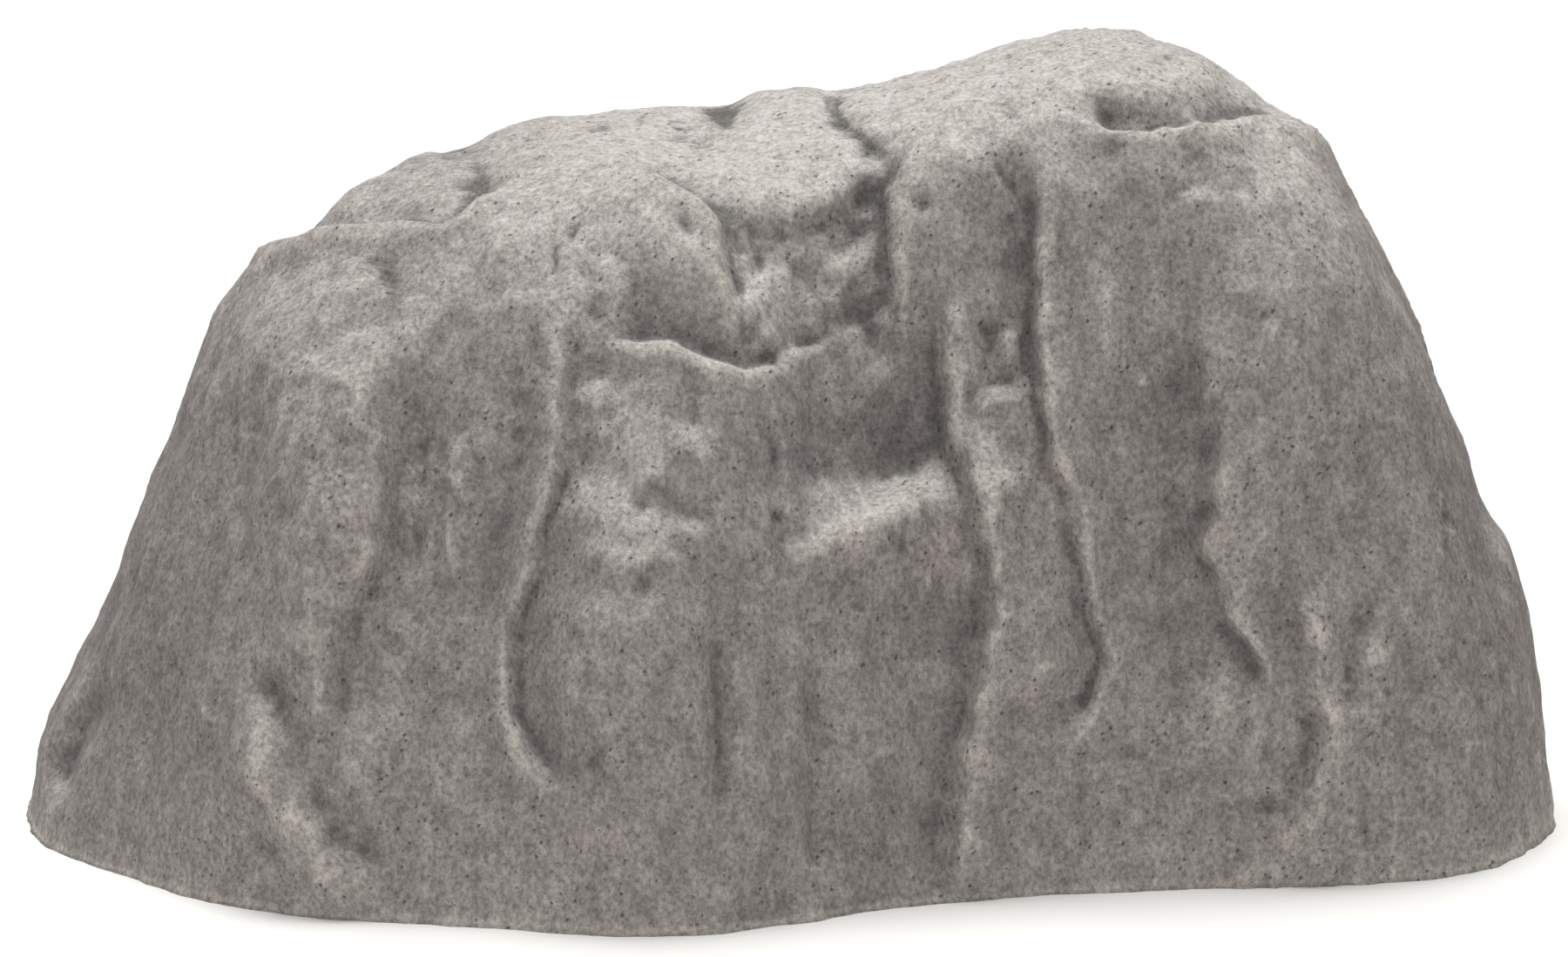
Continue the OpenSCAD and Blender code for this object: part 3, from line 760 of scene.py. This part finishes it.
def turned(profile, segments=64):
    """A profile of (radius, height) turned about the local Z axis. A profile that starts and ends on
    the axis closes in points there, and any other closes on itself."""
    profile = np.asarray(profile, float)
    t = np.radians(np.arange(segments) * 360 / segments)
    on_axis = profile[0, 0] == 0
    rows = profile[1:-1] if on_axis else profile
    radii, heights = rows[:, :1], np.repeat(rows[:, 1:], segments, 1)
    ring = np.stack([radii * np.cos(t), radii * np.sin(t), heights], -1)
    faces = grid_faces(len(rows), segments, wrap_rows=not on_axis).tolist()
    points = ring.reshape(-1, 3)
    if on_axis:
        first, last, base = len(points), len(points) + 1, (len(rows) - 1) * segments
        points = np.vstack([points, [0, 0, profile[0, 1]], [0, 0, profile[-1, 1]]])
        faces += [[k, first, (k + 1) % segments] for k in range(segments)]
        faces += [[base + (k + 1) % segments, last, base + k] for k in range(segments)]
    return points, faces


def round_corner(centre, radius, start, end, steps=5):
    """Points of an arc, for a profile's rounded corner."""
    t = np.radians(np.linspace(start, end, steps))
    return [(centre[0] + radius * c, centre[1] + radius * s) for c, s in zip(np.cos(t), np.sin(t))]


def placed(part, origin, axes):
    """A part's local X, Y and Z turned to the axes and moved to the origin."""
    return np.asarray(part[0]) @ np.asarray(axes) + origin, part[1]


def vent_axes(axis):
    """Local X points down the wall, Y along it and Z out of it."""
    tilt, turn = math.acos(axis[2]), math.atan2(axis[1], axis[0])
    return np.array([[math.cos(tilt) * math.cos(turn), math.cos(tilt) * math.sin(turn), -math.sin(tilt)],
                     [-math.sin(turn), math.cos(turn), 0], axis])


def roof_rib(side, laminate):
    """A half-round stiffener under the roof: its section follows the inner skin from front to rear,
    shrinks to nothing at both ends and is a little uneven, as laid by hand."""
    t = np.linspace(-1, 1, 57)
    x = np.full(t.shape, float(RIB_X[side]))
    y = RIB_REACH * t
    a = np.degrees(np.arctan2(y, x)) % 360
    share = np.hypot(x, y) / foot_radius(a)
    p, n = plain(a, share), outward(a, share)
    on = p + (wall_relief(p, n, a, True) + 3)[:, None] * n
    across = unit(np.cross([0, 1, 0], n))
    size = np.sqrt(np.maximum(0.02, 1 - np.abs(t) ** 9)) * (1 + 0.05 * lumps(on, 22, 30))
    k = np.radians(np.linspace(0, 180, 17))
    rings = on[:, None] + size[:, None, None] * RIB_R * (
        np.cos(k)[None, :, None] * across[:, None] - 1.15 * np.sin(k)[None, :, None] * n[:, None])
    part = (rings.reshape(-1, 3), tube_faces(len(t), len(k)))
    return solid(f"laminated_rib_{side}", [part], laminate, "shell", f"roof_rib_{side}")


def mouth_edge(a, sunk):
    """The wall's edge round the mouth, at a depth below the outer face."""
    end = wall_end(a)
    p, n = plain(a, end), outward(a, end)
    return p + (both_faces(p, swell_sum) - sunk)[:, None] * n


TRIM_W, TRIM_D, TRIM_LIP = 12, 12, 3


def mouth_trim(rubber):
    """Push-on rubber edging: a U with a rounded back, carried along the arch of the mouth."""
    a = MOUTH_ANGLE - MOUTH_SPREAD * np.cos(np.linspace(0, np.pi, 129))
    middle = mouth_edge(a, WALL / 2)
    across = unit(mouth_edge(a, 0) - mouth_edge(a, WALL))
    along = np.gradient(middle, axis=0)
    along[0], along[-1] = (0, 0, 1), (0, 0, -1)
    away = unit(np.cross(across, unit(along)))
    w, slot = TRIM_W / 2, WALL / 2 + 0.2
    foot, open_end = -TRIM_LIP, TRIM_D - TRIM_LIP
    profile = (round_corner((-w + 3, foot + 3), 3, 180, 270) + round_corner((w - 3, foot + 3), 3, 270, 360)
               + round_corner((w - 1, open_end - 1), 1, 0, 90, 3) + [(slot, open_end - 1.5), (slot, 0.2)]
               + [(-slot, 0.2), (-slot, open_end - 1.5)]
               + round_corner((-w + 1, open_end - 1), 1, 90, 180, 3))
    points, faces = swept(profile, middle, across, away)
    points[:, 2] = np.maximum(0, points[:, 2])
    return solid("rubber_edging", [(points, faces)], rubber, "shell", "mouth_trim")


VENT_FLANGE_R, VENT_FLANGE_T, GASKET_T, SPIGOT_L, SPIGOT_WALL = 46, 3, 2, 16, 2
SLATS, SLAT_T, SLAT_D, SLAT_TILT = 6, 1.8, 13, 40


def louvre(side, plastic):
    """A push-in vent: a flange with a rolled rim and a spigot, with tilted slats across its bore,
    each a strip with rounded edges that ends at the bore."""
    outer, bore, low = VENT_R - 0.1, VENT_R - SPIGOT_WALL, GASKET_T - SPIGOT_L
    top = GASKET_T + VENT_FLANGE_T
    rim = VENT_FLANGE_R
    ring = ([(bore, low), (outer - 0.8, low), (outer, low + 0.8), (outer, GASKET_T), (rim - 1, GASKET_T)]
            + round_corner((rim - 1, GASKET_T + 1), 1, -60, 0, 3)
            + round_corner((rim - 2, top - 2), 2, 0, 90, 4)
            + [(rim - 6, top), (rim - 7, top - 0.6), (bore + 2.5, top - 0.6)]
            + round_corner((bore + 1.2, top - 1.8), 1.2, 90, 180, 4))
    parts = [turned(ring, 96)]
    for k in range(SLATS):
        x = -(k - (SLATS - 1) / 2) * 2 * VENT_R / SLATS
        half = math.sqrt((bore + 0.6) ** 2 - min(abs(x) + 2, bore) ** 2)
        tilt = math.radians(SLAT_TILT)
        path = np.stack([np.full(9, x), np.linspace(-half, half, 9), np.full(9, -2.0)], -1)
        r = SLAT_T / 2
        edge = SLAT_D / 2 - r
        strip = round_corner((0, edge), r, 0, 180, 6) + round_corner((0, -edge), r, 180, 360, 6)
        across = np.tile([math.cos(tilt), 0, -math.sin(tilt)], (9, 1))
        up = np.tile([math.sin(tilt), 0, math.cos(tilt)], (9, 1))
        parts.append(swept(strip, path, across, up))
    spot, axis = vent_place(side)
    parts = [placed(p, spot, vent_axes(axis)) for p in parts]
    return solid(f"louvre_{side}", parts, plastic, "shell", f"vent_{side}")


WIRE_GAP, WIRE_R = 2.9, 0.34


def insect_screen(side, wire):
    """Woven wire: each wire is a sine that passes over and under the ones it crosses, and a flat
    ring holds their ends."""
    r = VENT_R - SPIGOT_WALL - 0.6
    depth = GASKET_T - SPIGOT_L + 1.5
    half_count = int(r / WIRE_GAP)
    square = [(WIRE_R, 0), (0, WIRE_R), (-WIRE_R, 0), (0, -WIRE_R)]
    ring = [(r - 2.2, depth - 0.5), (r + 0.5, depth - 0.5), (r + 0.5, depth + 0.5), (r - 2.2, depth + 0.5)]
    parts = [turned(ring, 96)]
    for turn in (0, 1):
        for k in range(-half_count, half_count + 1):
            reach = math.sqrt(max(1, (r - 1) ** 2 - (k * WIRE_GAP) ** 2))
            s = np.linspace(-reach, reach, max(6, int(reach * 8 / WIRE_GAP)))
            lift = (WIRE_R if (k + turn) % 2 else -WIRE_R) * np.cos(np.pi * s / WIRE_GAP)
            line = np.stack([s, np.full(s.shape, k * WIRE_GAP), depth + lift], -1)
            side_way = np.tile([0.0, 1, 0], (len(s), 1))
            if turn:
                line, side_way = line[:, [1, 0, 2]], side_way[:, [1, 0, 2]]
            parts.append(swept(square, line, side_way, np.tile([0.0, 0, 1], (len(s), 1))))
    spot, axis = vent_place(side)
    parts = [placed(p, spot, vent_axes(axis)) for p in parts]
    return solid(f"insect_screen_{side}", parts, wire, "shell", f"vent_screen_{side}")


STAKE_ANGLES = (57, 123, 27, 153)
STAKE_OUT, STAKE_R, STAKE_L, STAKE_PLAY, BUSH_WALL = 19, 4.5, 152, 0.5, 2.4
LUG_R, LUG_H, LUG_WEB, LUG_BITE, LUG_RAKE = 14, 34, 22, 4, 5
LUG_RISE, LUG_ROUND, LUG_DRAFT = 0.62, 2.5, 0.6
HEAD_R, HEAD_T, TIP_L, TIP_GAP = 11, 4, 18, 0.5


def stake_place(angle):
    """Where a stake's axis meets the ground, and axes whose X points away from the wall."""
    a = np.array([angle - 1.0, angle, angle + 1.0])
    p = plain(a, np.ones(3))
    p = p + both_faces(p, swell_sum)[:, None] * outward(a, np.ones(3))
    p[:, 2] = 0
    along = unit(p[2] - p[0])
    out = np.array([along[1], -along[0], 0])
    return p[1] + STAKE_OUT * out, np.array([out, along, [0, 0, 1]])


def stake_lug(number, angle, stone):
    """A lug moulded on the wall: seen from above a round collar that runs back into the wall, with
    its top rising to the wall. Each ring goes up the bore, out over the top, down the side and back."""
    t = np.radians(np.arange(120) * 3)
    c, s = np.cos(t), np.sin(t)
    reach = STAKE_OUT + LUG_BITE + LUG_RAKE
    taper = np.maximum(0, -c) * (LUG_R - LUG_WEB / 2) / LUG_R / reach
    side_r = np.where(c > 0, LUG_R, 1 / (np.abs(s) / LUG_R + taper + 1e-9))
    end_r = np.where(c < 0, (reach - 1) / np.maximum(-c, 1e-6), 1e6)
    radius = np.minimum(side_r, end_r)
    bore = STAKE_R + STAKE_PLAY + BUSH_WALL
    rows = []

    def row(r, z_of):
        x = r * c
        rows.append(np.stack([x, r * s, z_of(x)], -1))

    def top(x):
        return LUG_H + LUG_RISE * np.maximum(0, -x - LUG_R + 2)

    row(np.full(t.shape, bore), lambda x: 0 * x)
    row(np.full(t.shape, bore), lambda x: top(0 * x) - 0.2)
    for k in (0.15, 0.5, 0.85):
        row(bore + k * (radius - LUG_ROUND - bore), top)
    for k in np.radians([0, 30, 60, 90]):
        row(radius - LUG_ROUND + LUG_ROUND * math.sin(k),
            lambda x, k=k: top(x) - LUG_ROUND + LUG_ROUND * math.cos(k))
    for k in np.linspace(0.9, 0.02, 9):
        row(radius + LUG_DRAFT * (1 - k), lambda x, k=k: top(x) * k)
    row(radius + LUG_DRAFT, lambda x: 0 * x)
    points = np.stack(rows)
    spot, axes = stake_place(angle)
    placed_points, _ = placed((points.reshape(-1, 3), None), spot, axes)
    faces = grid_faces(len(rows), len(t), wrap_rows=True).tolist()
    node = f"stake_lug_{number}"
    return solid(f"stone_lug_{number}", [(placed_points, faces)], stone, "shell", node)


def ground_stake(number, angle, zinc):
    """A forged spike: a long point, a round rod with a shallow swage below its head, and a domed
    head with a rounded rim, turned about the stake's axis."""
    low, high = TIP_GAP, TIP_GAP + STAKE_L
    under = high - HEAD_T
    swage = STAKE_R - 0.3
    profile = [(0, low), (0.7, low + 0.2), (1.0, low + 1.2), (STAKE_R - 0.5, low + TIP_L - 3),
               (STAKE_R, low + TIP_L), (STAKE_R, under - 9), (swage, under - 8), (swage, under - 6),
               (STAKE_R, under - 5), (STAKE_R, under - 0.3), (STAKE_R + 0.3, under), (HEAD_R - 1, under)]
    profile += round_corner((HEAD_R - 1, under + 1), 1, -60, 0, 3)
    profile += round_corner((HEAD_R - 1.6, high - 2), 1.6, 0, 80, 4)
    profile += [(HEAD_R * 0.5, high - 0.15), (0, high)]
    spot, axes = stake_place(angle)
    part = placed(turned(profile, 48), spot, axes)
    return solid(f"ground_spike_{number}", [part], zinc, f"stake_{number}", f"ground_stake_{number}")


def wear(node, material):
    """Gives a CAD node its material."""
    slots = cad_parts[node].material_slots
    for k in range(len(slots)):
        slots[k].material = material


# ---------------------------------------------------------------- materials

EASED = {"interpolation_type": "SMOOTHSTEP"}
COLOURS = {"data_type": "RGBA", "out": "Result_Color"}


def linear(colour):
    """An sRGB hex colour as linear RGBA."""
    parts = [int(colour[k:k + 2], 16) / 255 for k in (1, 3, 5)]
    return [p / 12.92 if p <= 0.04045 else ((p + 0.055) / 1.055) ** 2.4 for p in parts] + [1]


def per_metre(size):
    """A pattern's scale from its size in mm."""
    return 1 / (size * MM)


def new_material(name):
    """A material with no nodes yet."""
    material = bpy.data.materials.new(name)
    material.use_nodes = True
    material.node_tree.nodes.clear()
    return material


def add(material, kind, *inputs, out=None, stops=(), **parts):
    """Adds a node and returns its first output, or the one named out. Inputs come in the node's own
    order or by name, with _ for a space, and each is a value or another node's output. Names that
    start in lower case are the node's settings. stops are a colour ramp's: (place, hex or grey)."""
    node = material.node_tree.nodes.new("ShaderNode" + kind)
    for name, value in parts.items():
        if name[0].islower():
            setattr(node, name, value)
    joined = list(zip(node.inputs, inputs))
    for name, value in parts.items():
        joined += [(s, value) for s in node.inputs if name in (s.identifier, s.name.replace(" ", "_"))][:1]
    for socket, value in joined:
        if isinstance(value, bpy.types.NodeSocket):
            material.node_tree.links.new(value, socket)
        else:
            socket.default_value = value
    if stops:
        elements = node.color_ramp.elements
        while len(elements) < len(stops):
            elements.new(0.5)
        for element, (place, colour) in zip(elements, stops):
            element.position = place
            element.color = linear(colour) if isinstance(colour, str) else (colour, colour, colour, 1)
    found = [s for s in node.outputs if out in (None, s.identifier, s.name)]
    return found[0] if found else None


def colours_over(m, base, layers):
    """Lays colours over a base. Each layer is (mask, its share, hex colour)."""
    for mask, share, colour in layers:
        part = add(m, "Math", mask, share, operation="MULTIPLY")
        base = add(m, "Mix", part, A_Color=base, B_Color=linear(colour), **COLOURS)
    return base


def finish_material(m, height, strength, depth, **shader):
    """Ends a material with bump of that depth in mm and the main shader."""
    bump = add(m, "Bump", Height=height, Strength=strength, Distance=depth * MM)
    add(m, "OutputMaterial", add(m, "BsdfPrincipled", Normal=bump, **shader))
    return m


def stone_faced_resin(name, with_painted_light=True):
    """Cast resin faced with stone grit: matt, mottled taupe grey, speckled by its sand, with pits where air
    was trapped, which are darkened by painted shade. Unless turned off, it also has painted shade in its
    hollows and on its two ends, painted highlights on its crests and painted light over its top, and it is
    paler near the ground."""
    m = new_material(name)
    where = add(m, "TexCoord", out="Object")
    broad = add(m, "TexNoise", where, Scale=per_metre(110), Detail=3)
    broad = add(m, "ValToRGB", broad, stops=[(0.32, "#86807e"), (0.5, "#8d8784"), (0.68, "#958f8c")])
    drawn_down = add(m, "Mapping", where, (3, 3, 3), Scale=(1, 1, 0.6))
    tint = add(m, "TexNoise", drawn_down, Scale=per_metre(34), Detail=3)
    tint = add(m, "ValToRGB", tint, stops=[(0.3, "#85817e"), (0.5, "#8e8784"), (0.72, "#9b9390")])
    base = add(m, "Mix", 0.5, A_Color=broad, B_Color=tint, **COLOURS)
    if with_painted_light:
        fine, wide, broadly, painted_top_light_and_paler_foot, painted_end_shade = (
            add(m, "Attribute", attribute_name=layer, out="Fac")
            for layer in ("fine_relief", "wide_relief", "broad_relief", "painted_top_light_and_paler_foot", "painted_end_shade"))
        base = colours_over(m, base, [
            # Painted shade on the two end walls
            (painted_end_shade, 0.4, "#65605d"),
            # Painted light over the top, with the paler colour near the ground
            (painted_top_light_and_paler_foot, 0.85, "#d3cec8"),
            # Painted shade in the hollows and painted highlights on the crests, at a broad, a wide and a fine
            # size
            (add(m, "MapRange", broadly, -14, -1, 1, 0, **EASED), 0.2, "#5d5956"),
            (add(m, "MapRange", broadly, 0, 9, **EASED), 0.2, "#b3aca6"),
            (add(m, "MapRange", wide, -5, 0.5, 1, 0, **EASED), 0.5, "#625e5b"),
            (add(m, "MapRange", wide, 1, 5, **EASED), 0.3, "#bbb4ae"),
            (add(m, "MapRange", fine, 0.25, 1.4, **EASED), 0.5, "#beb7b0"),
            (add(m, "MapRange", fine, -1.6, -0.2, 1, 0, **EASED), 0.6, "#565250")])
    # Grit of 1 to 4 mm, drawn out a little down the wall, and clumps of it
    drawn_down = add(m, "Mapping", where, (7, 7, 7), Scale=(1, 1, 0.8))
    grit = add(m, "TexNoise", drawn_down, Scale=per_metre(3.4), Detail=5, Roughness=0.78)
    drawn_down = add(m, "Mapping", where, (11, 11, 11), Scale=(1, 1, 0.65))
    clumps = add(m, "TexNoise", drawn_down, Scale=per_metre(13), Roughness=0.6)
    for pattern, share, stops in ((grit, 1.0, [(0.28, 0.2), (0.5, 0.5), (0.72, 0.8)]),
                                  (clumps, 0.65, [(0.32, 0.36), (0.5, 0.5), (0.7, 0.65)])):
        shade = add(m, "ValToRGB", pattern, stops=stops)
        base = add(m, "Mix", share, A_Color=base, B_Color=shade, blend_type="OVERLAY", **COLOURS)
    # Pits 1 to 2.5 mm across with ragged edges, in patches, with painted shade inside them
    ragged = add(m, "Math", grit, 0.006, operation="MULTIPLY")
    ragged = add(m, "VectorMath", where, ragged, operation="ADD")
    hole = add(m, "TexVoronoi", ragged, Scale=per_metre(6.5), out="Distance")
    hole = add(m, "MapRange", hole, 0.06, 0.22, 1, 0, **EASED)
    patches = add(m, "TexNoise", add(m, "Mapping", where, (19, 19, 19)), Scale=per_metre(14))
    patches = add(m, "MapRange", patches, 0.44, 0.62, **EASED)
    pit = add(m, "Math", hole, patches, operation="MULTIPLY")
    # Painted shade inside the pits
    base = colours_over(m, base, [(pit, 0.7, "#45413f")])
    height = 0.0
    for pattern, weight in ((grit, 0.9), (clumps, 0.9), (pit, -0.8)):
        height = add(m, "Math", pattern, weight, height, operation="MULTIPLY_ADD")
    rough = add(m, "MapRange", grit, 0.2, 0.8, 0.97, 0.82, **EASED)
    return finish_material(m, height, 0.85, 2.4, Base_Color=base, Specular_IOR_Level=0.3, Roughness=rough)


def glass_mat_laminate():
    """Hand-laid glass-reinforced polyester: chopped strands lie every way under a wavy skin of
    resin, so the face is greenish buff with pale threads, and shines unevenly."""
    m = new_material("glass_mat_laminate_hand_laid")
    where = add(m, "TexCoord", out="Object")
    bend = add(m, "TexNoise", where, Scale=per_metre(60), out="Color")
    bend = add(m, "VectorMath", bend, Scale=0.02, operation="SCALE")
    bent = add(m, "VectorMath", where, bend, operation="ADD")
    strands = 0.0
    # Three layers of bundled threads 20 mm apart, turned to different directions. A wave texture
    # of scale 1 repeats every 2 pi / 20.
    for turn in ((0.3, 0.9, 0.2), (1.4, 0.2, 1.1), (2.3, 1.7, 0.6)):
        wave = add(m, "TexWave", add(m, "Mapping", bent, Rotation=turn), out="Fac", Distortion=3.0,
                   Detail=2.0, Detail_Scale=2.0, Scale=per_metre(20.1) * math.tau / 20)
        thread = add(m, "MapRange", wave, 0.82, 0.98, **EASED)
        strands = add(m, "Math", thread, strands, operation="MAXIMUM")
    blotch = add(m, "TexNoise", where, Scale=per_metre(45), Detail=3)
    base = add(m, "ValToRGB", blotch, stops=[(0.3, "#8f8a6f"), (0.55, "#a8a387"), (0.75, "#bdb79c")])
    base = colours_over(m, base, [(strands, 0.6, "#d8d4c2")])
    skin = add(m, "TexNoise", where, Scale=per_metre(20), Detail=3)
    height = add(m, "Math", strands, 0.5, skin, operation="MULTIPLY_ADD")
    rough = add(m, "MapRange", blotch, 0.3, 0.7, 0.38, 0.6, **EASED)
    return finish_material(m, height, 0.7, 1.6, Base_Color=base, Roughness=rough)


def galvanised_steel():
    """Hot-dip galvanised steel: crystals of zinc 6 to 10 mm across, each with its own sheen, and
    white rust where water stands."""
    m = new_material("steel_hot_dip_galvanised")
    where = add(m, "TexCoord", out="Object")
    shade = add(m, "TexVoronoi", where, Scale=per_metre(8), out="Color")
    shade = add(m, "SeparateColor", shade)
    rust = add(m, "TexNoise", where, Scale=per_metre(12), Detail=4, Roughness=0.65)
    rust = add(m, "MapRange", rust, 0.52, 0.72, **EASED)
    base = add(m, "ValToRGB", shade, stops=[(0.0, "#8e9397"), (0.5, "#a3a7aa"), (1.0, "#bbbec0")])
    base = colours_over(m, base, [(rust, 0.5, "#b9b8b2")])
    grain = add(m, "TexNoise", where, Scale=per_metre(2.2))
    height = add(m, "Math", shade, 0.3, grain, operation="MULTIPLY_ADD")
    rough = add(m, "MapRange", shade, 0.0, 1.0, 0.32, 0.52, **EASED)
    return finish_material(m, height, 0.3, 0.25, Base_Color=base, Metallic=1.0, Roughness=rough)


def bloomed(name, bloom, stops, shine, grain, bump, **shader):
    """A smooth material under a slow bloom. bloom and grain are noises: (size in mm, detail,
    roughness). stops are the bloom's colours, shine takes it from two values to two roughnesses,
    and bump is the grain's (strength, depth in mm)."""
    m = new_material(name)
    where = add(m, "TexCoord", out="Object")
    cover, fine = (add(m, "TexNoise", where, Scale=per_metre(size), Detail=detail, Roughness=rough)
                   for size, detail, rough in (bloom, grain))
    base = add(m, "ValToRGB", cover, stops=stops)
    rough = add(m, "MapRange", cover, *shine, **EASED)
    return finish_material(m, fine, *bump, Base_Color=base, Roughness=rough, **shader)


# ---------------------------------------------------------------- camera, floor and light

VIEW_ELEVATION = 13.6
LENS = 300
FRAME_WIDTH = 1030
SENSOR = 36
FRAME_CENTRE = np.array([-4.6, 0, 226])
FLOOR_HALF = 40  # metres
SKY = 0.24
# Each lamp: direction it comes from, strength, degrees over which it is softened
LAMPS = {"top_light": ((-0.04, 0.18, 1), 3.2, 42), "front_fill": ((0.15, -1, 0.4), 0.7, 40)}


def camera():
    """A long lens in front of the boulder, a little above it."""
    data = bpy.data.cameras.new("camera")
    data.lens, data.sensor_width = LENS, SENSOR
    data.clip_start, data.clip_end = 0.1, 100
    eye = bpy.data.objects.new("camera", data)
    bpy.context.scene.collection.objects.link(eye)
    distance = FRAME_WIDTH * LENS / SENSOR
    e = math.radians(VIEW_ELEVATION)
    eye.location = (FRAME_CENTRE + distance * np.array([0, -math.cos(e), math.sin(e)])) * MM
    eye.rotation_euler = (math.radians(90) - e, 0, 0)
    bpy.context.scene.camera = eye


def sky_light(name, towards, strength, spread):
    """A lamp of parallel light from the direction towards, softened over spread degrees."""
    data = bpy.data.lights.new(name, "SUN")
    data.energy, data.angle = strength, math.radians(spread)
    lamp = bpy.data.objects.new(name, data)
    bpy.context.scene.collection.objects.link(lamp)
    lamp.location = Vector(towards) * 3
    lamp.rotation_euler = Vector(towards).to_track_quat("Z", "Y").to_euler()


def studio():
    """A plain pale floor, an even sky and two soft lamps."""
    floor_material = new_material("matt_white_studio_floor")
    surface = add(floor_material, "BsdfPrincipled", Base_Color=linear("#f4f2ef"), Roughness=0.95,
                  Specular_IOR_Level=0.1)
    add(floor_material, "OutputMaterial", surface)
    mesh = bpy.data.meshes.new("floor")
    r = FLOOR_HALF
    mesh.from_pydata([(-r, -r, 0), (r, -r, 0), (r, r, 0), (-r, r, 0)], [], [(0, 1, 2, 3)])
    mesh.materials.append(floor_material)
    floor = bpy.data.objects.new("floor", mesh)
    bpy.context.scene.collection.objects.link(floor)
    world = bpy.data.worlds.new("studio")
    world.use_nodes = True
    sky = world.node_tree.nodes["Background"]
    sky.inputs["Color"].default_value = linear("#ffffff")
    sky.inputs["Strength"].default_value = SKY
    bpy.context.scene.world = world
    for name, lamp in LAMPS.items():
        sky_light(name, *lamp)
    bpy.context.scene.view_settings.view_transform = "Standard"


# ---------------------------------------------------------------- build

camera()
studio()
stone = stone_faced_resin("stone_faced_cast_resin_matt")
lug_stone = stone_faced_resin("stone_faced_cast_resin_lug", with_painted_light=False)
laminate = glass_mat_laminate()
zinc = galvanised_steel()
# Extruded EPDM edging: black and satin, with a grey bloom
rubber = bloomed("epdm_rubber_extruded", (26, 4, 0.6),
                 [(0.35, "#191918"), (0.6, "#252423"), (0.8, "#353331")],
                 (0.3, 0.75, 0.5, 0.78), (1.6, 2, 0.6), (0.35, 0.4), Specular_IOR_Level=0.4)
# Moulded polypropylene in stone grey: a fine spark-eroded texture, chalky from the sun
plastic = bloomed("polypropylene_moulded_stone_grey", (32, 4, 0.6),
                  [(0.3, "#6c6862"), (0.55, "#7a756f"), (0.78, "#8a857e")],
                  (0.3, 0.75, 0.42, 0.62), (1.3, 2, 0.55), (0.4, 0.3), IOR=1.49)
# Woven stainless insect screen: bright drawn wire, dulled by dust
wire = bloomed("stainless_steel_woven_wire", (9, 3, 0.6), [(0.35, "#a9aaa8"), (0.7, "#86837c")],
               (0.3, 0.75, 0.28, 0.55), (1.2, 1, 0.5), (0.2, 0.1), Metallic=1.0)

shell = rock_shell(stone, laminate)
cut_with(shell, [drill(which) for which in VENT_ANGLES])
for side in RIB_X:
    roof_rib(side, laminate)
mouth_trim(rubber)
for side in VENT_ANGLES:
    louvre(side, plastic)
    insect_screen(side, wire)
for number, angle in enumerate(STAKE_ANGLES, 1):
    stake_lug(number, angle, lug_stone)
    ground_stake(number, angle, zinc)
for name, finish in (("base_flange", laminate), ("vent_gasket_left", rubber), ("vent_gasket_right", rubber),
                     *((f"stake_bush_{k}", zinc) for k in range(1, 5))):
    wear(name, finish)
